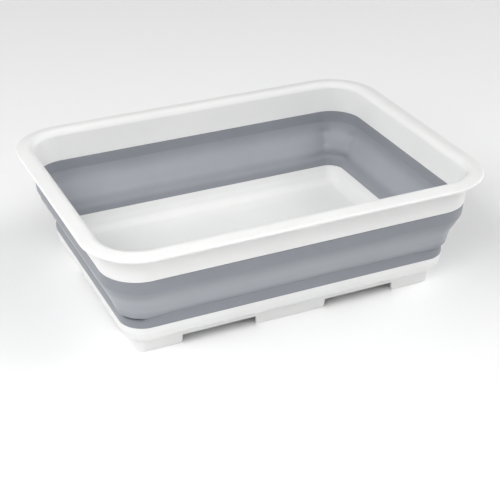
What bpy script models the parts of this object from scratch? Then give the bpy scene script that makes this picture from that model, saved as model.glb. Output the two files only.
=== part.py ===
"""Collapsible storage tub: a stiff rim frame and a stiff footed tray joined by a soft wall that folds.

Metres, +Z up. The origin is on the surface that the tub stands on, under the tub's centre, with X along
the long side. All ring-shaped pieces are closed sections swept round one rounded rectangle, the flange's
outer edge. A section is a list of (inset, height) points in millimetres: the inset is measured inward
from that edge, and the height from the standing surface.
"""

import bmesh
import bpy
import numpy as np
from math import cos
from math import pi
from math import radians
from math import sin
from mathutils import Matrix

MM = 0.001

# Driving dimensions, in millimetres.
LENGTH = 380.0
WIDTH = 280.2
CORNER_RADIUS = 50.0
CORNER_STEPS = 8
GAP = 0.3

# Heights of the seams and folds, from the standing surface.
RIM_TOP = 118.3
LIP_BOTTOM = 112.7
FLANGE_UNDERSIDE = 115.7
RIM_EDGE = 87.2
COLLAR_FOLD = 72.5
NOSE_BOTTOM = 44.0
LEDGE = 42.6
TRAY_EDGE_OUTSIDE = 31.7
TRAY_EDGE_INSIDE = 33.7
FLOOR_TOP = 14.4
TRAY_UNDERSIDE = 12.1
FOOT_RING_BOTTOM = 8.4

# Insets of the walls, from the flange's outer edge.
SKIRT_TOP = 14.4
SKIRT_FOOT = 15.3
RIM_WALL_TOP = 17.2
RIM_WALL_FOOT = 17.8
COLLAR_INNER = 18.2
WEB_UPPER_INNER = 22.2
WEB_MIDDLE_INNER = 25.7
WEB_LOWER_INNER = 29.8
BEAD_INNER = 36.6
TRAY_FLAT_INSET = 49.4

# Sizes of single features.
LIP_RADIUS = 3.0
LIP_THICKNESS = 2.5
MOUTH_RADIUS = 4.6
ARC_STEPS = 4
RIM_TONGUE = 0.9
RIM_TONGUE_DEPTH = 8.0
RIM_TONGUE_INSET = 16.15
TRAY_TONGUE = 2.0
TRAY_TONGUE_HEIGHT = 38.2
TRAY_TONGUE_INSET = 32.9
FOOT_RING_INSET = 42.4
FOOT_INSET_TOP = 42.7
FOOT_INSET_BOTTOM = 43.6
FOOT_THICKNESS = 2.6
MIDDLE_FOOT_LENGTH = 69.0
CORNER_FOOT_START = 105.7
FOOT_END_RADIUS = 0.8
FOOT_END_SEGMENTS = 3

# The folding wall's two faces, as inset and height, from the collar's fold to the ledge over the bead.
WALL_OUTSIDE = [
    (15.9, COLLAR_FOLD),
    (16.9, 70.3),
    (20.6, 65.2),
    (23.8, 60.8),
    (25.4, 57.2),
    (26.4, 51.0),
    (27.2, 45.6),
    (28.0, NOSE_BOTTOM),
    (30.1, 43.2),
]
WALL_INSIDE = [
    (18.0, 76.4),
    (19.1, 73.6),
    (22.6, 68.0),
    (25.9, 63.2),
    (27.8, 58.6),
    (28.9, 51.6),
    (29.8, 47.4),
    (30.9, 46.2),
]

SOFT_GREY = (0.27, 0.29, 0.33, 1.0)
WARM_WHITE = (0.84, 0.84, 0.82, 1.0)
SOFT_ROUGHNESS = 0.62
PLASTIC_ROUGHNESS = 0.38


def clear_scene():
    """Remove whatever objects the scene holds."""
    for obj in list(bpy.data.objects):
        bpy.data.objects.remove(obj, do_unlink=True)


def make_material(name, colour, roughness):
    """Return a Principled material of one colour."""
    material = bpy.data.materials.new(name)
    material.use_nodes = True
    shader = material.node_tree.nodes["Principled BSDF"]
    shader.inputs["Base Color"].default_value = colour
    shader.inputs["Roughness"].default_value = roughness
    shader.inputs["Metallic"].default_value = 0.0
    return material


def arc(centre, radius, start, end, steps=ARC_STEPS):
    """Return points on an arc of a section, with its angles in degrees."""
    points = []
    for step in range(steps + 1):
        angle = radians(start + (end - start) * step / steps)
        points.append((centre[0] + radius * cos(angle), centre[1] + radius * sin(angle)))
    return points


def between(line, low, high):
    """Return the part of a line of (inset, height) points that lies between two insets."""
    insets = [point[0] for point in line]
    heights = [point[1] for point in line]
    ends = [(edge, float(np.interp(edge, insets, heights))) for edge in (low, high)]
    return [ends[0]] + [point for point in line if low < point[0] < high] + [ends[1]]


def outline_verts(mesh, section, x):
    """Add a section's points to the mesh, standing across the front side at one place along X."""
    half_width = WIDTH / 2.0
    return [mesh.verts.new((x * MM, (inset - half_width) * MM, height * MM)) for inset, height in section]


def carry(mesh, edges, step):
    """Extrude a loop of edges by a step and return the new loop's edges."""
    grown = bmesh.ops.extrude_edge_only(mesh, edges=edges)["geom"]
    verts = [item for item in grown if isinstance(item, bmesh.types.BMVert)]
    bmesh.ops.translate(mesh, verts=verts, vec=(step[0] * MM, step[1] * MM, 0.0))
    return [item for item in grown if isinstance(item, bmesh.types.BMEdge) and all(v in verts for v in item.verts)]


def turn(mesh, edges):
    """Sweep a loop of edges round the front right corner and return the last loop's edges."""
    centre = ((LENGTH / 2.0 - CORNER_RADIUS) * MM, (CORNER_RADIUS - WIDTH / 2.0) * MM, 0.0)
    swept = bmesh.ops.spin(
        mesh,
        geom=edges,
        cent=centre,
        axis=(0.0, 0.0, 1.0),
        angle=pi / 2.0,
        steps=CORNER_STEPS,
    )["geom_last"]
    return [item for item in swept if isinstance(item, bmesh.types.BMEdge)]


def quarter_sweep(mesh, section, start):
    """Sweep a closed section from one place on the front side round the corner to the same run on the side."""
    verts = outline_verts(mesh, section, start)
    loop = [mesh.edges.new((verts[i - 1], verts[i])) for i in range(len(verts))]
    first = list(loop)
    loop = carry(mesh, loop, (LENGTH / 2.0 - CORNER_RADIUS - start, 0.0))
    return first, turn(mesh, loop)


def full_ring(mesh, section):
    """Sweep a closed section all the way round, as a quarter and its mirror images."""
    last = quarter_sweep(mesh, section, 0.0)[1]
    carry(mesh, last, (0.0, WIDTH / 2.0 - CORNER_RADIUS))
    for axis in ("X", "Y"):
        everything = mesh.verts[:] + mesh.edges[:] + mesh.faces[:]
        bmesh.ops.mirror(mesh, geom=everything, matrix=Matrix(), merge_dist=GAP * MM / 10.0, axis=axis)
    bmesh.ops.remove_doubles(mesh, verts=mesh.verts[:], dist=GAP * MM / 10.0)


def finish(mesh, name, body, material, collection):
    """Turn a bmesh into a named object on its body's empty."""
    bmesh.ops.translate(mesh, verts=mesh.verts[:], vec=(0.0, 0.0, -body.location.z))
    bmesh.ops.recalc_face_normals(mesh, faces=mesh.faces[:])
    data = bpy.data.meshes.new(name)
    mesh.to_mesh(data)
    mesh.free()
    data.shade_smooth()
    data.set_sharp_from_angle(angle=radians(35.0))
    data.materials.append(material)
    obj = bpy.data.objects.new(name, data)
    obj.parent = body
    collection.objects.link(obj)
    return obj


def ring(name, section, body, material, collection):
    """Make a ring-shaped piece from its section."""
    mesh = bmesh.new()
    full_ring(mesh, section)
    return finish(mesh, name, body, material, collection)


def rim_section():
    """Flange with a turned-down lip, skirt, rounded mouth and the tongue that the collar grips."""
    flange_edge = arc((LIP_RADIUS, RIM_TOP - LIP_RADIUS), LIP_RADIUS, 180.0, 90.0)
    mouth_centre = (RIM_WALL_TOP - MOUTH_RADIUS, RIM_TOP - MOUTH_RADIUS)
    mouth = arc(mouth_centre, MOUTH_RADIUS, 90.0, 0.0)
    tongue_bottom = RIM_EDGE - RIM_TONGUE_DEPTH
    return [
        (0.4, LIP_BOTTOM),
        *flange_edge,
        *mouth,
        (RIM_WALL_FOOT, RIM_EDGE + GAP),
        (RIM_TONGUE_INSET + RIM_TONGUE, RIM_EDGE + GAP),
        (RIM_TONGUE_INSET + RIM_TONGUE, tongue_bottom + GAP),
        (RIM_TONGUE_INSET, tongue_bottom + GAP),
        (RIM_TONGUE_INSET, RIM_EDGE + GAP),
        (SKIRT_FOOT, RIM_EDGE + GAP),
        (SKIRT_TOP, LIP_BOTTOM),
        (SKIRT_TOP - 1.0, FLANGE_UNDERSIDE - 0.8),
        (SKIRT_TOP - 2.4, FLANGE_UNDERSIDE),
        (LIP_THICKNESS + 1.2, FLANGE_UNDERSIDE),
        (LIP_THICKNESS, FLANGE_UNDERSIDE - 1.2),
        (LIP_THICKNESS, LIP_BOTTOM),
    ]


def collar_section():
    """Upright soft collar with a groove for the rim's tongue, ending below in the first fold."""
    groove_bottom = RIM_EDGE - RIM_TONGUE_DEPTH
    groove_outer = RIM_TONGUE_INSET - GAP
    groove_inner = RIM_TONGUE_INSET + RIM_TONGUE + GAP
    outside = between(WALL_OUTSIDE, WALL_OUTSIDE[0][0], COLLAR_INNER)
    inside = between(WALL_INSIDE, WALL_INSIDE[0][0], COLLAR_INNER)
    return [
        (SKIRT_FOOT, RIM_EDGE),
        *outside,
        *reversed(inside),
        (RIM_WALL_FOOT, RIM_EDGE),
        (groove_inner, RIM_EDGE),
        (groove_inner, groove_bottom),
        (groove_outer, groove_bottom),
        (groove_outer, RIM_EDGE),
    ]


def web_section(low, high):
    """The folding wall between two insets."""
    return between(WALL_OUTSIDE, low, high) + between(WALL_INSIDE, low, high)[::-1]


def bead_section():
    """Ledge and bead at the wall's lower edge, with a groove for the tray's tongue."""
    start = WEB_LOWER_INNER + GAP
    groove_outer = TRAY_TONGUE_INSET - GAP
    groove_inner = TRAY_TONGUE_INSET + TRAY_TONGUE + GAP
    groove_top = TRAY_TONGUE_HEIGHT + GAP
    return [
        (start, float(np.interp(start, [p[0] for p in WALL_INSIDE], [p[1] for p in WALL_INSIDE]))),
        WALL_INSIDE[-1],
        (35.2, LEDGE + 0.2),
        (36.2, LEDGE - 1.0),
        (36.5, LEDGE - 3.0),
        (BEAD_INNER, TRAY_EDGE_INSIDE + GAP),
        (groove_inner, TRAY_EDGE_INSIDE + GAP),
        (groove_inner, groove_top),
        (groove_outer, groove_top),
        (groove_outer, TRAY_EDGE_OUTSIDE + GAP),
        (31.2, TRAY_EDGE_OUTSIDE + GAP),
        (30.8, 34.0),
        (30.7, 37.0),
        (31.2, 39.6),
        (32.4, 41.2),
        (31.6, 42.5),
        (start, WALL_OUTSIDE[-1][1]),
    ]


def tray_section():
    """Tray wall with the tongue that the bead grips and the low ring under it, up to the flat floor's edge."""
    tongue_inner = TRAY_TONGUE_INSET + TRAY_TONGUE
    return [
        (TRAY_TONGUE_INSET, TRAY_EDGE_OUTSIDE),
        (TRAY_TONGUE_INSET, TRAY_TONGUE_HEIGHT),
        (tongue_inner, TRAY_TONGUE_HEIGHT),
        (tongue_inner, TRAY_EDGE_INSIDE),
        (BEAD_INNER, TRAY_EDGE_INSIDE),
        (36.9, 27.5),
        (37.9, 22.8),
        (39.9, 18.9),
        (43.0, 16.1),
        (46.2, 14.9),
        (TRAY_FLAT_INSET, FLOOR_TOP),
        (TRAY_FLAT_INSET, TRAY_UNDERSIDE),
        (FOOT_RING_INSET + FOOT_THICKNESS, TRAY_UNDERSIDE),
        (FOOT_RING_INSET + FOOT_THICKNESS, FOOT_RING_BOTTOM),
        (FOOT_INSET_TOP, FOOT_RING_BOTTOM),
        (FOOT_RING_INSET, TRAY_UNDERSIDE + GAP),
        (41.0, 13.0),
        (38.6, 14.9),
        (35.9, 17.6),
        (33.6, 20.5),
        (32.2, 23.5),
        (31.5, 27.0),
        (31.3, TRAY_EDGE_OUTSIDE),
    ]


def tray(name, body, material, collection):
    """Make the tray: its wall as a ring, closed above and below by the flat floor."""
    mesh = bmesh.new()
    full_ring(mesh, tray_section())
    edge = (LENGTH / 2.0 - TRAY_FLAT_INSET) * MM
    side = (WIDTH / 2.0 - TRAY_FLAT_INSET) * MM
    tolerance = GAP * MM
    inner = [
        face
        for face in mesh.faces
        if all(abs(v.co.x) < edge + tolerance and abs(v.co.y) < side + tolerance for v in face.verts)
    ]
    bmesh.ops.delete(mesh, geom=inner, context="FACES")
    rims = [item for item in mesh.edges if item.is_boundary]
    for height in (FLOOR_TOP, TRAY_UNDERSIDE):
        loop = [item for item in rims if all(abs(v.co.z - height * MM) < tolerance for v in item.verts)]
        bmesh.ops.edgeloop_fill(mesh, edges=loop)
    return finish(mesh, name, body, material, collection)


def foot_section():
    """Drafted section of a foot, from the tray's low ring to the standing surface."""
    top = FOOT_RING_BOTTOM - GAP
    return [
        (FOOT_INSET_BOTTOM, 0.0),
        (FOOT_INSET_BOTTOM + FOOT_THICKNESS, 0.0),
        (FOOT_INSET_TOP + FOOT_THICKNESS, top),
        (FOOT_INSET_TOP, top),
    ]


def cap_and_mirror(mesh, signs):
    """Close a swept foot's two ends and mirror it to its own corner."""
    bmesh.ops.holes_fill(mesh, edges=mesh.edges[:])
    bmesh.ops.scale(mesh, verts=mesh.verts[:], vec=(signs[0], signs[1], 1.0))


def add_end_bevel(obj):
    """Round a foot's edges."""
    bevel = obj.modifiers.new("rounded_edges", "BEVEL")
    bevel.width = FOOT_END_RADIUS * MM
    bevel.segments = FOOT_END_SEGMENTS
    bevel.limit_method = "ANGLE"
    bevel.angle_limit = radians(60.0)


def corner_foot(name, signs, body, material, collection):
    """Make a foot that wraps one corner of the tray."""
    mesh = bmesh.new()
    last = quarter_sweep(mesh, foot_section(), CORNER_FOOT_START)[1]
    carry(mesh, last, (0.0, LENGTH / 2.0 - CORNER_RADIUS - CORNER_FOOT_START))
    cap_and_mirror(mesh, signs)
    return finish(mesh, name, body, material, collection)


def middle_foot(name, sign, body, material, collection):
    """Make the straight foot at the middle of one long side."""
    mesh = bmesh.new()
    verts = outline_verts(mesh, foot_section(), -MIDDLE_FOOT_LENGTH / 2.0)
    loop = [mesh.edges.new((verts[i - 1], verts[i])) for i in range(len(verts))]
    carry(mesh, loop, (MIDDLE_FOOT_LENGTH, 0.0))
    cap_and_mirror(mesh, (1.0, sign))
    obj = finish(mesh, name, body, material, collection)
    add_end_bevel(obj)
    return obj


def body_empty(name, height, collection):
    """Make the empty that a body's pieces hang on, on the vertical line that the wall folds along."""
    empty = bpy.data.objects.new(name, None)
    empty.location = (0.0, 0.0, height * MM)
    collection.objects.link(empty)
    return empty


def build():
    """Make the whole tub."""
    clear_scene()
    collection = bpy.data.collections.new("collapsible_tub")
    bpy.context.scene.collection.children.link(collection)
    plastic = make_material("white_plastic", WARM_WHITE, PLASTIC_ROUGHNESS)
    soft = make_material("grey_soft_plastic", SOFT_GREY, SOFT_ROUGHNESS)

    base = body_empty("base_body", 0.0, collection)
    web_lower = body_empty("web_lower_body", NOSE_BOTTOM, collection)
    web_middle = body_empty("web_middle_body", NOSE_BOTTOM, collection)
    web_upper = body_empty("web_upper_body", NOSE_BOTTOM, collection)
    rim = body_empty("rim_body", RIM_EDGE, collection)

    tray("base_tray", base, plastic, collection)
    for side, sign in (("front", 1.0), ("back", -1.0)):
        corner_foot(f"foot_{side}_left", (-1.0, sign), base, plastic, collection)
        corner_foot(f"foot_{side}_right", (1.0, sign), base, plastic, collection)
        middle_foot(f"foot_{side}_middle", sign, base, plastic, collection)
    ring("bellows_lower_bead", bead_section(), base, soft, collection)
    lower = web_section(WEB_MIDDLE_INNER + GAP, WEB_LOWER_INNER)
    middle = web_section(WEB_UPPER_INNER + GAP, WEB_MIDDLE_INNER)
    upper = web_section(COLLAR_INNER + GAP, WEB_UPPER_INNER)
    ring("bellows_web_lower", lower, web_lower, soft, collection)
    ring("bellows_web_middle", middle, web_middle, soft, collection)
    ring("bellows_web_upper", upper, web_upper, soft, collection)
    ring("bellows_upper_collar", collar_section(), rim, soft, collection)
    ring("rim_frame", rim_section(), rim, plastic, collection)


build()
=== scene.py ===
"""Looks of the folding tub: white rim frame, soft grey wall that rolls inside out, and white footed tray.

Sections are (inset, height) points in millimetres: the inset is measured inward from the flange's outer
edge, and the height from the standing surface. A piece is one or two sections carried round the rounded
rectangle of that edge, mixed from place to place along it.
"""

from math import cos
from math import radians
from math import sin

import bmesh
import bpy
import numpy as np
from mathutils import Matrix
from mathutils import Vector


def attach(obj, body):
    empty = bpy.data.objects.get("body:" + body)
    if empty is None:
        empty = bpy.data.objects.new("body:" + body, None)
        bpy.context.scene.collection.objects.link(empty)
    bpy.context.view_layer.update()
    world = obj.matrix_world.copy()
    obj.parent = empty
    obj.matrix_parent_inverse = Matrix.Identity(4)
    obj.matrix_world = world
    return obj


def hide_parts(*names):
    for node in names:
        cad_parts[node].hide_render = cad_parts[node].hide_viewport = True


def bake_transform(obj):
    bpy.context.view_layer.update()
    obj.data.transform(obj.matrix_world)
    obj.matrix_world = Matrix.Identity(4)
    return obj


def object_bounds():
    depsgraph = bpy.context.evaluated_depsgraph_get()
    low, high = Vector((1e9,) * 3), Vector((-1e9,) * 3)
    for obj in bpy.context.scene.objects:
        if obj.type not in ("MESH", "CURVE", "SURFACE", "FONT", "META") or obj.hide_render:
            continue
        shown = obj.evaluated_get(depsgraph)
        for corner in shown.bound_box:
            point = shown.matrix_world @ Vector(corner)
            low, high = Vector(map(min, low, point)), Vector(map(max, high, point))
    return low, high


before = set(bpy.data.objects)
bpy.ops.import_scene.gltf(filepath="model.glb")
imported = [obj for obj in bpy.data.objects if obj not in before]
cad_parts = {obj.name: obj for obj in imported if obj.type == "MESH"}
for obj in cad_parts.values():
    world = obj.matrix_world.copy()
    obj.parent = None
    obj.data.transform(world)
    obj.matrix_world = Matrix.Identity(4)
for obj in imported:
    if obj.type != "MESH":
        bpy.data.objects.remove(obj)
CAD_LOW, CAD_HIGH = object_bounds()

MM = 0.001
HALF_LENGTH = CAD_HIGH.x / MM
HALF_WIDTH = CAD_HIGH.y / MM
RIM_TOP = CAD_HIGH.z / MM

# Outline, in millimetres, and how many stations an arc has and how far apart they are along a side.
CORNER_RADIUS = 50.0
SMALLEST_RADIUS = 3.0
ARC_STATIONS = 20
SPACING = 9.0

# Share of a section's edge that rounding one of its ends may take.
LONGEST_CUT = 0.48

# Extra corner radius of the soft wall and the tray, in millimetres. It is whole between the two heights, and
# fades to nothing at the rim and to a share at the feet.
EXTRA_RADIUS = 3.0
EXTRA_FULL_TOP = 64.0
EXTRA_FULL_BOTTOM = 26.0
EXTRA_FADE_BOTTOM = 10.0
EXTRA_SHARE_AT_FEET = 0.2

# Heights, in millimetres.
LIP_BOTTOM = 112.7
FLANGE_UNDERSIDE = 115.7
SKIRT_MIDDLE = 100.0
RIM_EDGE = 87.25
TRAY_EDGE = 33.8
BEAD_EDGE = 31.8
FLOOR_TOP = 14.4
UNDERSIDE = 12.1
FOOT_RING_BOTTOM = 8.4

# Insets, in millimetres.
COLLAR_INSET = 16.55
LEDGE_INSET = 35.55
FLAT_INSET = 60.0
FLOOR_CENTRE_INSET = 110.0

# Tongue of the tray inside the bead, in millimetres.
TONGUE_TOP = 38.0
TONGUE_OUTSIDE = 33.4
TONGUE_INSIDE = 34.2

# Soft wall, in millimetres. The places are distances past the end of a side, as way_round_corner gives them.
WALL_THICKNESS = 2.2
SOFT_ARC_HALF = 19.6
WALL_CORNER_START = -16.0
BEAD_CORNER_START = 2.0
CORNER_FULL = 12.0

# How much of the corner's section each corner takes: front right, back right, back left and front left.
CORNER_STRENGTHS = (1.0, 1.0, 0.4, 1.0)

# Unevenness of the web, in millimetres, with the corners in the same order. A wave has its count in a lap,
# strength and phase. A pair of heights is where the unevenness starts and is whole.
RIPPLE = 0.16
WAVES = (
    (7.0, 1.0, 0.6),
    (17.0, 0.7, 2.1),
    (31.0, 0.4, 4.0),
)
CREASE_PLACE = 7.5
CREASE_WIDTH = 4.5
CREASE_DEPTHS = (0.6, 3.0, 1.6, 0.4)
UNEVEN_BOTTOM = (46.0, 54.0)
UNEVEN_TOP = (72.0, 64.0)

# Pairs of heights, in millimetres, between which the web's painted light, a paler grey for the light its
# slopes catch, comes in, and then loses a share.
PAINTED_LIGHT_TOP = (77.5, 61.0)
PAINTED_LIGHT_BOTTOM = (51.0, 43.0)
PAINTED_LIGHT_LOSS = 0.75

# Feet, in millimetres along each side, and how far their faces lean in.
MIDDLE_FOOT_HALF = 34.5
CORNER_FOOT_LONG = 105.7
CORNER_FOOT_SHORT = 55.8
FOOT_FILLET = 1.2
FOOT_ROUND = 2.0
FOOT_OUTSIDE = 42.5
FOOT_INSIDE = 45.1
RING_LEAN = 0.3
FOOT_LEAN = 1.2
FOOT_END_STEPS = (0.0, 0.1, 0.4, 0.8, 1.2, 1.3, 2.0)

# Colours in linear light and roughness, as ranges, and the range of a noise that is spread over them.
WHITE_TONES = ((0.832, 0.833, 0.83), (0.866, 0.865, 0.86))
# The first grey is the wall's own tone; the second, paler one is painted light, laid on the web for the
# extra light that its slopes catch.
PLAIN_GREY_TONES = ((0.237, 0.254, 0.281), (0.258, 0.274, 0.303))
PAINTED_LIGHT_TONES = ((0.332, 0.353, 0.387), (0.36, 0.381, 0.414))
WHITE_ROUGHNESS = (0.42, 0.52)
GREY_ROUGHNESS = (0.46, 0.56)
NOISE_LOW = 0.3
NOISE_HIGH = 0.7

# How strongly broad faces set the shading of the edges beside them.
BROAD_FACE_WEIGHT = 60

# Camera: angles in degrees, distances in metres, lens and sensor in millimetres.
CAMERA_AZIMUTH = -25.03
CAMERA_ELEVATION = 29.85
CAMERA_ROLL = 0.22
CAMERA_DISTANCE = 1.19485
CAMERA_ASIDE = -0.00423
CAMERA_ABOVE = -0.01536
CAMERA_LENS = 89.05
CAMERA_SENSOR = 36.0

# Studio, in metres. Lights: name, azimuth and elevation in degrees, distance, side, and power in watts.
AIM_HEIGHT = 0.06
LIGHTS = (
    ("near_left", -45.0, 40.0, 1.2, 0.7, 6.0),
    ("key", -60.0, 50.0, 1.9, 1.1, 2.5),
    ("left_mid", -100.0, 42.0, 3.5, 2.0, 36.0),
    ("left_edge", -115.0, 16.0, 3.5, 2.0, 10.0),
    ("right_fill", 60.0, 50.0, 3.5, 2.0, 38.5),
    ("right_edge", 95.0, 16.0, 3.5, 2.0, 40.5),
    ("front_fill", 0.0, 50.0, 3.5, 2.0, 17.5),
    ("front_low", 32.0, 16.0, 3.5, 2.0, 13.5),
    ("back_left", -150.0, 16.0, 3.5, 2.0, 26.0),
    ("back_fill", 175.0, 50.0, 3.5, 2.0, 4.0),
)
FLOOR_TONE = (0.95, 0.95, 0.95, 1.0)
FLOOR_RADIUS = 2.3
FLOOR_SIDES = 96

# Strengths of the surround's light and of the backdrop that the camera sees.
SURROUND = 0.045
BACKDROP = 0.85


# ---------------------------------------------------------------- outline and sections


def smoothstep(start, end, value):
    """Go from 0 at start to 1 at end, where start may be the greater."""
    share = np.clip((np.asarray(value, float) - start) / (end - start), 0.0, 1.0)
    return share * share * (3.0 - 2.0 * share)


def foot_end_stations(end):
    """Places along a side that draw one rounded foot end."""
    return [end + step for step in FOOT_END_STEPS] + [end - step for step in FOOT_END_STEPS]


def side_stations(half_run, ends):
    """Places along one straight side, denser at the feet's ends, as shares of its half run."""
    count = int(2.0 * half_run / SPACING)
    places = list(np.linspace(-half_run, half_run, count + 1))
    too_near = SPACING / 3.0
    for end in ends:
        places = [place for place in places if abs(abs(place) - end) > too_near]
        places += foot_end_stations(end) + [-place for place in foot_end_stations(end)]
    return np.unique(np.round(places, 3)) / half_run


def make_path():
    """Return the lap's stations: side or corner number, and the share along it."""
    long_run = HALF_LENGTH - CORNER_RADIUS
    short_run = HALF_WIDTH - CORNER_RADIUS
    arc = np.linspace(0.0, 1.0, ARC_STATIONS + 1)[1:-1]
    kinds, shares = [], []
    for side in range(4):
        if side % 2 == 0:
            run = side_stations(long_run, (MIDDLE_FOOT_HALF, CORNER_FOOT_LONG))
        else:
            run = side_stations(short_run, (CORNER_FOOT_SHORT,))
        kinds += [side] * len(run) + [side + 4] * len(arc)
        shares += list(run) + list(arc)
    return np.array(kinds), np.array(shares)


KINDS, SHARES = make_path()


def extra_radius(height):
    """Return how much fuller than the rim's the corners are at a height."""
    below_rim = smoothstep(RIM_EDGE, EXTRA_FULL_TOP, height)
    above_feet = smoothstep(EXTRA_FADE_BOTTOM, EXTRA_FULL_BOTTOM, height)
    return EXTRA_RADIUS * below_rim * (EXTRA_SHARE_AT_FEET + (1.0 - EXTRA_SHARE_AT_FEET) * above_feet)


def place_stations(inset, height):
    """Return the points, in metres, of every station of every section point (stations by points)."""
    radius = np.maximum(CORNER_RADIUS + extra_radius(height) - inset, SMALLEST_RADIUS)
    run = np.stack([HALF_LENGTH - inset - radius, HALF_WIDTH - inset - radius])
    points = np.zeros(inset.shape + (3,))
    points[..., 2] = height
    for side in range(4):
        angle = radians(90.0 * side - 90.0)
        along = np.array([-sin(angle), cos(angle)])
        out = np.array([cos(angle), sin(angle)])
        own = run[side % 2]
        other = run[1 - side % 2]
        rows = KINDS == side
        straight = SHARES[rows, None]
        for axis in (0, 1):
            points[rows, :, axis] = along[axis] * own[rows] * straight + out[axis] * (other + radius)[rows]
        rows = KINDS == side + 4
        turn = angle + SHARES[rows, None] * radians(90.0)
        centre = [along[axis] * own[rows] + out[axis] * other[rows] for axis in (0, 1)]
        points[rows, :, 0] = centre[0] + radius[rows] * np.cos(turn)
        points[rows, :, 1] = centre[1] + radius[rows] * np.sin(turn)
    return points * MM


def rounded(corners, closed=True, steps=6):
    """Return a section's points, each corner (inset, height, radius) rounded over its own radius."""
    points = []
    count = len(corners)
    for k, (inset, height, radius) in enumerate(corners):
        here = np.array([inset, height])
        if radius == 0.0 or (not closed and k in (0, count - 1)):
            points.append(here)
            continue
        before = np.array(corners[k - 1][:2]) - here
        after = np.array(corners[(k + 1) % count][:2]) - here
        long_before = np.linalg.norm(before)
        long_after = np.linalg.norm(after)
        half_angle = 0.5 * np.arccos(np.clip(before @ after / (long_before * long_after), -1.0, 1.0))
        cut = min(radius / np.tan(half_angle), LONGEST_CUT * long_before, LONGEST_CUT * long_after)
        first = here + before / long_before * cut
        last = here + after / long_after * cut
        for t in np.linspace(0.0, 1.0, steps + 1):
            points.append((1.0 - t) ** 2 * first + 2.0 * t * (1.0 - t) * here + t * t * last)
    return np.array(points)


def flowing(points, steps=6):
    """Return a smooth curve through points (Catmull-Rom), with the given steps from one to the next."""
    points = np.array(points, float)
    padded = np.vstack([2.0 * points[0] - points[1], points, 2.0 * points[-1] - points[-2]])
    curve = [points[0]]
    for k in range(1, len(points)):
        before, here, there, after = padded[k - 1 : k + 3]
        for t in np.linspace(0.0, 1.0, steps + 1)[1:]:
            curve.append(
                0.5
                * (
                    2.0 * here
                    + (there - before) * t
                    + (2.0 * before - 5.0 * here + 4.0 * there - after) * t**2
                    + (3.0 * here - 3.0 * there + after - before) * t**3
                )
            )
    return np.array(curve)


def carry(name, sections, weights, closed, ripple=None):
    """Make a mesh object from sections mixed by the stations' weights (stations by sections)."""
    mixed = np.einsum("sk,kpc->spc", weights, np.array(sections))
    if ripple is not None:
        mixed[..., 0] += ripple
    points = place_stations(mixed[..., 0], mixed[..., 1])
    stations, count = points.shape[:2]
    faces = []
    last = count if closed else count - 1
    for s in range(stations):
        ahead = (s + 1) % stations
        for p in range(last):
            q = (p + 1) % count
            faces.append((s * count + p, ahead * count + p, ahead * count + q, s * count + q))
    mesh = bpy.data.meshes.new(name)
    mesh.from_pydata(points.reshape(-1, 3).tolist(), [], faces)
    mesh.update()
    mesh.shade_smooth()
    obj = bpy.data.objects.new(name, mesh)
    bpy.context.scene.collection.objects.link(obj)
    return obj, stations, count


def face_out(obj):
    """Turn a closed piece's faces outward."""
    mesh = bmesh.new()
    mesh.from_mesh(obj.data)
    bmesh.ops.recalc_face_normals(mesh, faces=mesh.faces[:])
    mesh.to_mesh(obj.data)
    mesh.free()


def even_shading(obj):
    """Keep broad faces flat beside narrow rounded edges."""
    normals = obj.modifiers.new("even_shading", "WEIGHTED_NORMAL")
    normals.keep_sharp = True
    normals.weight = BROAD_FACE_WEIGHT


WHOLE = np.ones((len(KINDS), 1))


# ---------------------------------------------------------------- materials


def new_material(name):
    """Return a new material, its node tree, its shader and a function that adds nodes to it."""
    material = bpy.data.materials.new(name)
    material.use_nodes = True
    tree = material.node_tree
    shader = tree.nodes["Principled BSDF"]

    def add(kind, **inputs):
        node = tree.nodes.new(kind)
        for key, value in inputs.items():
            node.inputs[key.replace("_", " ")].default_value = value
        return node

    return material, tree, shader, add


def noise(tree, add, coordinates, **inputs):
    """Add a noise over the object's own coordinates."""
    node = add("ShaderNodeTexNoise", **inputs)
    tree.links.new(coordinates, node.inputs["Vector"])
    return node.outputs["Fac"]


def ramp(tree, add, source, tones):
    """Map a noise to a range of colours."""
    node = add("ShaderNodeValToRGB")
    for element, position, tone in zip(node.color_ramp.elements, (NOISE_LOW, NOISE_HIGH), tones):
        element.position = position
        element.color = (*tone, 1.0)
    tree.links.new(source, node.inputs["Fac"])
    return node.outputs["Color"]


def spread(tree, add, source, span):
    """Map a noise to a range of numbers."""
    low, high = span
    node = add("ShaderNodeMapRange", From_Min=NOISE_LOW, From_Max=NOISE_HIGH, To_Min=low, To_Max=high)
    tree.links.new(source, node.inputs["Value"])
    return node.outputs["Result"]


def grain(tree, add, coordinates, shader, scale, depth, strength):
    """Bump the surface with the fine grain of the mould's spark-eroded steel."""
    fine = noise(tree, add, coordinates, Scale=scale, Detail=2.0, Roughness=0.6)
    bump = add("ShaderNodeBump", Strength=strength, Distance=depth)
    tree.links.new(fine, bump.inputs["Height"])
    tree.links.new(bump.outputs["Normal"], shader.inputs["Normal"])


def white_plastic():
    """Satin white polypropylene: faint cloudiness, uneven gloss and a fine grain."""
    material, tree, shader, add = new_material("white_plastic")
    coordinates = add("ShaderNodeTexCoord").outputs["Object"]
    cloud = noise(tree, add, coordinates, Scale=14.0, Detail=3.0, Roughness=0.5)
    tree.links.new(ramp(tree, add, cloud, WHITE_TONES), shader.inputs["Base Color"])
    patches = noise(tree, add, coordinates, Scale=55.0, Detail=4.0, Roughness=0.6)
    tree.links.new(spread(tree, add, patches, WHITE_ROUGHNESS), shader.inputs["Roughness"])
    grain(tree, add, coordinates, shader, scale=1500.0, depth=0.0001, strength=0.12)
    shader.inputs["IOR"].default_value = 1.49
    shader.inputs["Subsurface Weight"].default_value = 0.12
    shader.inputs["Subsurface Radius"].default_value = (1.0, 0.95, 0.85)
    shader.inputs["Subsurface Scale"].default_value = 0.002
    return material


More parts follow.
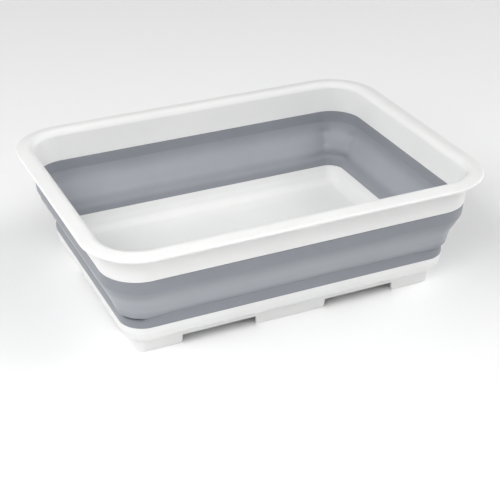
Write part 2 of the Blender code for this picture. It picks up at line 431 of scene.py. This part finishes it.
def soft_grey():
    """Matt grey thermoplastic rubber: slightly mottled, with painted light on the web, a paler grey for the
    light its slopes catch.
    """
    material, tree, shader, add = new_material("grey_soft_plastic")
    coordinates = add("ShaderNodeTexCoord").outputs["Object"]
    cloud = noise(tree, add, coordinates, Scale=22.0, Detail=4.0, Roughness=0.55)
    # Painted light: a share read from the wall's points mixes the paler grey into the web.
    painted_web_light = add("ShaderNodeAttribute")
    painted_web_light.attribute_name = "painted_web_light"
    pale = add("ShaderNodeMix")
    pale.data_type = "RGBA"
    factor = pale.inputs[0]
    first_colour = pale.inputs[6]
    second_colour = pale.inputs[7]
    mixed_colour = pale.outputs[2]
    tree.links.new(painted_web_light.outputs["Fac"], factor)
    tree.links.new(ramp(tree, add, cloud, PLAIN_GREY_TONES), first_colour)
    tree.links.new(ramp(tree, add, cloud, PAINTED_LIGHT_TONES), second_colour)
    tree.links.new(mixed_colour, shader.inputs["Base Color"])
    tree.links.new(spread(tree, add, cloud, GREY_ROUGHNESS), shader.inputs["Roughness"])
    grain(tree, add, coordinates, shader, scale=1100.0, depth=0.00012, strength=0.16)
    shader.inputs["Sheen Weight"].default_value = 0.12
    shader.inputs["Sheen Roughness"].default_value = 0.5
    return material


def plain_floor():
    """Pale matt studio floor."""
    material, _, shader, _ = new_material("studio_floor")
    shader.inputs["Base Color"].default_value = FLOOR_TONE
    shader.inputs["Roughness"].default_value = 0.9
    shader.inputs["Specular IOR Level"].default_value = 0.1
    return material


WHITE = white_plastic()
GREY = soft_grey()


def finish_piece(obj, material, slot, *nodes):
    """Give a piece its material and hide the CAD nodes it stands for."""
    obj.data.materials.append(material)
    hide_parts(*nodes)


# ---------------------------------------------------------------- rim frame


def make_rim():
    """Flange with a turned-down lip, upright skirt and rounded mouth."""
    section = rounded(
        [
            (2.4, LIP_BOTTOM, 0.6),
            (0.8, LIP_BOTTOM + 1.2, 1.6),
            (0.0, RIM_TOP - 3.0, 1.8),
            (1.3, RIM_TOP - 1.7, 1.8),
            (5.2, RIM_TOP - 0.8, 8.0),
            (10.4, RIM_TOP + 0.1, 8.0),
            (14.5, RIM_TOP - 0.7, 5.0),
            (17.2, RIM_TOP - 4.8, 5.0),
            (17.5, SKIRT_MIDDLE, 20.0),
            (17.8, RIM_EDGE + 0.15, 0.25),
            (15.3, RIM_EDGE + 0.05, 0.25),
            (14.9, SKIRT_MIDDLE, 20.0),
            (14.4, FLANGE_UNDERSIDE, 3.4),
            (9.0, FLANGE_UNDERSIDE, 6.0),
            (4.2, FLANGE_UNDERSIDE - 0.7, 1.4),
            (3.9, LIP_BOTTOM + 0.1, 0.6),
        ]
    )
    rim, _, _ = carry("rim_moulding", [section], WHOLE, closed=True)
    face_out(rim)
    even_shading(rim)
    finish_piece(rim, WHITE, "white_plastic", "rim_frame")
    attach(rim, "rim")


# ---------------------------------------------------------------- soft wall


def straight_wall():
    """Middle line of the soft wall along a side: an even slope that flows into the bead."""
    return flowing(
        [
            (COLLAR_INSET, RIM_EDGE - 0.1),
            (16.75, 81.0),
            (16.85, 77.4),
            (17.0, 75.9),
            (17.55, 74.4),
            (18.35, 72.4),
            (20.0, 68.3),
            (22.6, 62.2),
            (25.6, 56.2),
            (28.4, 50.4),
            (30.6, 46.0),
            (32.6, 43.0),
            (34.5, 41.2),
            (35.4, 39.4),
            (LEDGE_INSET, 36.6),
            (LEDGE_INSET, TRAY_EDGE + 0.1),
        ]
    )


def corner_wall():
    """Middle line of the soft wall round a corner: a shoulder, a steep skirt and a nose that overhangs."""
    return flowing(
        [
            (COLLAR_INSET, RIM_EDGE - 0.1),
            (16.75, 81.0),
            (16.85, 77.2),
            (17.0, 75.6),
            (17.7, 73.8),
            (18.75, 71.6),
            (20.6, 67.6),
            (23.3, 62.6),
            (25.7, 57.6),
            (27.3, 52.0),
            (28.0, 47.6),
            (29.2, 44.5),
            (33.2, 44.1),
            (35.2, 42.2),
            (LEDGE_INSET, 38.6),
            (LEDGE_INSET, TRAY_EDGE + 0.1),
        ]
    )


def way_round_corner():
    """Distance in millimetres of every station past the end of its side, negative along the side itself."""
    half_runs = np.where(KINDS % 2 == 0, HALF_LENGTH, HALF_WIDTH) - CORNER_RADIUS
    along_side = -half_runs * (1.0 - np.abs(SHARES))
    along_arc = SOFT_ARC_HALF * (1.0 - np.abs(2.0 * SHARES - 1.0))
    return np.where(KINDS >= 4, along_arc, along_side)


def corner_value(values):
    """Give every station its nearest corner's value."""
    nearest = np.where(KINDS >= 4, KINDS - 4, np.where(SHARES > 0.0, KINDS, KINDS - 1))
    return np.array(values)[nearest % 4]


def corner_weights(start):
    """Shares of the side's and the corner's section, which go over between start and CORNER_FULL."""
    share = smoothstep(start, CORNER_FULL, way_round_corner()) * corner_value(CORNER_STRENGTHS)
    return np.stack([1.0 - share, share], axis=1)


def lap_angles():
    """Return every station's share of the way round the outline, by distance, as an angle."""
    level = np.full((len(KINDS), 1), RIM_TOP)
    outline = place_stations(np.zeros_like(level), level)[:, 0, :]
    steps = np.linalg.norm(np.roll(outline, -1, axis=0) - outline, axis=1)
    return 2.0 * np.pi * (np.cumsum(steps) - steps) / steps.sum()


def web_ripple(heights):
    """Unevenness, in millimetres, that folding leaves in the web: slight waves and creases."""
    lap = lap_angles()
    wave = sum(strength * np.sin(count * lap + phase) for count, strength, phase in WAVES)
    crease = np.exp(-(((way_round_corner() - CREASE_PLACE) / CREASE_WIDTH) ** 2))
    within = smoothstep(*UNEVEN_BOTTOM, heights) * smoothstep(*UNEVEN_TOP, heights)
    return (RIPPLE * wave - crease * corner_value(CREASE_DEPTHS))[:, None] * within[None, :]


def make_wall():
    """One continuous sheet between the rim and the tray; on the real tub this wall rolls inside out."""
    straight = straight_wall()
    heights = straight[:, 1]
    sections = [straight, corner_wall()]
    weights = corner_weights(WALL_CORNER_START)
    wall, stations, _ = carry("soft_wall", sections, weights, closed=False, ripple=web_ripple(heights))
    # Painted light: share of the paler grey at each height, whole on the web's slopes and falling to a
    # quarter at the bottom, by the bead.
    kept = 1.0 - PAINTED_LIGHT_LOSS * smoothstep(*PAINTED_LIGHT_BOTTOM, heights)
    painted_light_share = smoothstep(*PAINTED_LIGHT_TOP, heights) * kept
    painted_web_light = wall.data.attributes.new("painted_web_light", "FLOAT", "POINT")
    painted_web_light.data.foreach_set("value", np.tile(painted_light_share, stations).astype(np.float32))
    finish_piece(
        wall,
        GREY,
        "grey_soft_plastic",
        "bellows_upper_collar",
        "bellows_web_upper",
        "bellows_web_middle",
        "bellows_web_lower",
    )
    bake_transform(wall)
    solid = wall.modifiers.new("wall_thickness", "SOLIDIFY")
    solid.thickness = WALL_THICKNESS * MM
    solid.offset = 0.0
    solid.use_even_offset = True


def make_bead():
    """Bead that grips the tray's edge, flowing into the wall along a side and standing free at a corner."""
    straight = flowing(
        [
            (34.7, BEAD_EDGE),
            (31.5, BEAD_EDGE),
            (31.1, 32.3),
            (30.8, 35.0),
            (31.0, 38.4),
            (31.5, 41.0),
            (31.55, 42.6),
            (31.0, 44.3),
            (31.6, 44.8),
            (33.2, 42.6),
            (34.5, 40.6),
            (34.7, 38.0),
        ]
    )
    corner = flowing(
        [
            (34.7, BEAD_EDGE),
            (31.5, BEAD_EDGE),
            (31.1, 32.3),
            (30.9, 34.2),
            (31.1, 36.4),
            (31.6, 38.2),
            (32.5, 39.2),
            (33.4, 39.5),
            (34.1, 39.6),
            (34.5, 39.4),
            (34.7, 38.8),
            (34.7, 38.0),
        ]
    )
    bead, _, _ = carry("soft_bead", [straight, corner], corner_weights(BEAD_CORNER_START), closed=True)
    face_out(bead)
    finish_piece(bead, GREY, "grey_soft_plastic", "bellows_lower_bead")
    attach(bead, "base")


# ---------------------------------------------------------------- tray


def foot_share(kind, share):
    """Return how far down the underside reaches: 0 at the low ring, 1 at the standing surface."""
    if kind >= 4:
        return 1.0
    half_run = (HALF_LENGTH if kind % 2 == 0 else HALF_WIDTH) - CORNER_RADIUS
    place = abs(share) * half_run
    if kind % 2 == 0:
        inside = max(MIDDLE_FOOT_HALF - place, place - CORNER_FOOT_LONG)
    else:
        inside = place - CORNER_FOOT_SHORT
    if inside < 0.0:
        rest = min(max(inside + FOOT_FILLET, 0.0), FOOT_FILLET)
        drop = FOOT_FILLET - (FOOT_FILLET**2 - rest**2) ** 0.5
        return drop / FOOT_RING_BOTTOM
    rest = max(FOOT_ROUND - inside, 0.0)
    lift = FOOT_ROUND - (FOOT_ROUND**2 - rest**2) ** 0.5
    return 1.0 - lift / FOOT_RING_BOTTOM


def tray_section(foot_bottom, lean):
    """Section from the underside's middle, round the feet and the wall, to the floor's middle."""
    return rounded(
        [
            (FLOOR_CENTRE_INSET, UNDERSIDE, 0.0),
            (FLAT_INSET, UNDERSIDE, 0.0),
            (FOOT_INSIDE, UNDERSIDE, 0.8),
            (FOOT_INSIDE + lean, foot_bottom, 0.9),
            (FOOT_OUTSIDE + lean, foot_bottom, 0.9),
            (42.4, UNDERSIDE + 0.1, 0.9),
            (38.4, 14.6, 6.0),
            (33.2, 19.6, 6.0),
            (31.35, 26.0, 7.0),
            (31.3, BEAD_EDGE - 0.1, 0.2),
            (TONGUE_OUTSIDE, BEAD_EDGE - 0.1, 0.2),
            (TONGUE_OUTSIDE, TONGUE_TOP, 0.4),
            (TONGUE_INSIDE, TONGUE_TOP, 0.4),
            (TONGUE_INSIDE, TRAY_EDGE - 0.1, 0.2),
            (36.6, TRAY_EDGE - 0.1, 0.2),
            (37.5, 27.0, 8.0),
            (39.9, 19.6, 8.0),
            (45.5, 15.2, 10.0),
            (FLAT_INSET, FLOOR_TOP, 14.0),
            (FLOOR_CENTRE_INSET, FLOOR_TOP, 0.0),
        ],
        closed=False,
    )


def close_middle(obj, stations, count):
    """Fill the floor and the underside inside their last rings."""
    mesh = bmesh.new()
    mesh.from_mesh(obj.data)
    mesh.verts.ensure_lookup_table()
    for point in (0, count - 1):
        face = mesh.faces.new([mesh.verts[s * count + point] for s in range(stations)])
        face.smooth = True
    mesh.to_mesh(obj.data)
    mesh.free()


def make_tray():
    """Footed tray, one moulding."""
    reach = np.array([foot_share(kind, share) for kind, share in zip(KINDS, SHARES)])
    weights = np.stack([1.0 - reach, reach], axis=1)
    low = tray_section(FOOT_RING_BOTTOM, RING_LEAN)
    foot = tray_section(0.0, FOOT_LEAN)
    tray, stations, count = carry("tray_moulding", [low, foot], weights, closed=False)
    close_middle(tray, stations, count)
    face_out(tray)
    even_shading(tray)
    feet = [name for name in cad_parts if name.startswith("foot_")]
    finish_piece(tray, WHITE, "white_plastic", "base_tray", *feet)
    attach(tray, "base")


# ---------------------------------------------------------------- studio


def direction(azimuth, elevation):
    """Return the unit vector towards an azimuth and elevation, in degrees, from the front."""
    azimuth = radians(azimuth)
    elevation = radians(elevation)
    return Vector((sin(azimuth) * cos(elevation), -cos(azimuth) * cos(elevation), sin(elevation)))


def area_light(name, azimuth, elevation, distance, size, energy):
    """Add a soft square light that faces the object from a direction, in degrees."""
    light = bpy.data.lights.new(name, "AREA")
    light.shape = "SQUARE"
    light.size = size
    light.energy = energy
    back = direction(azimuth, elevation)
    obj = bpy.data.objects.new(name, light)
    obj.location = back * distance + Vector((0.0, 0.0, AIM_HEIGHT))
    obj.rotation_euler = back.to_track_quat("Z", "Y").to_euler()
    bpy.context.scene.collection.objects.link(obj)


def make_surround():
    """Faint even light from all round, and the pale backdrop that the camera sees past the floor's edge."""
    world = bpy.data.worlds.new("surround")
    world.use_nodes = True
    tree = world.node_tree
    light = tree.nodes["Background"]
    backdrop = tree.nodes.new("ShaderNodeBackground")
    for background, strength in ((light, SURROUND), (backdrop, BACKDROP)):
        background.inputs["Color"].default_value = (1.0, 1.0, 1.0, 1.0)
        background.inputs["Strength"].default_value = strength
    seen = tree.nodes.new("ShaderNodeLightPath")
    mix = tree.nodes.new("ShaderNodeMixShader")
    tree.links.new(seen.outputs["Is Camera Ray"], mix.inputs["Fac"])
    tree.links.new(light.outputs["Background"], mix.inputs[1])
    tree.links.new(backdrop.outputs["Background"], mix.inputs[2])
    tree.links.new(mix.outputs["Shader"], tree.nodes["World Output"].inputs["Surface"])
    return world


def make_studio():
    """Pale floor, soft lights and a faint even surround."""
    bpy.ops.mesh.primitive_circle_add(vertices=FLOOR_SIDES, radius=FLOOR_RADIUS, fill_type="NGON")
    floor = bpy.context.object
    floor.name = "studio_floor"
    floor.data.materials.append(plain_floor())
    for name, azimuth, elevation, distance, size, energy in LIGHTS:
        area_light(name, azimuth, elevation, distance, size, energy)
    bpy.context.scene.world = make_surround()
    bpy.context.scene.view_settings.view_transform = "Standard"


def make_camera():
    """Camera at the view's angle."""
    azimuth = radians(CAMERA_AZIMUTH)
    roll = radians(CAMERA_ROLL)
    back = direction(CAMERA_AZIMUTH, CAMERA_ELEVATION)
    level = Vector((cos(azimuth), sin(azimuth), 0.0))
    rise = back.cross(level)
    right = level * cos(roll) + rise * sin(roll)
    up = rise * cos(roll) - level * sin(roll)
    place = back * CAMERA_DISTANCE - right * CAMERA_ASIDE - up * CAMERA_ABOVE
    data = bpy.data.cameras.new("camera")
    data.lens = CAMERA_LENS
    data.sensor_width = CAMERA_SENSOR
    camera = bpy.data.objects.new("camera", data)
    camera.matrix_world = Matrix(
        [
            (right.x, up.x, back.x, place.x),
            (right.y, up.y, back.y, place.y),
            (right.z, up.z, back.z, place.z),
            (0.0, 0.0, 0.0, 1.0),
        ]
    )
    bpy.context.scene.collection.objects.link(camera)
    bpy.context.scene.camera = camera


make_camera()
make_rim()
make_wall()
make_bead()
make_tray()
make_studio()
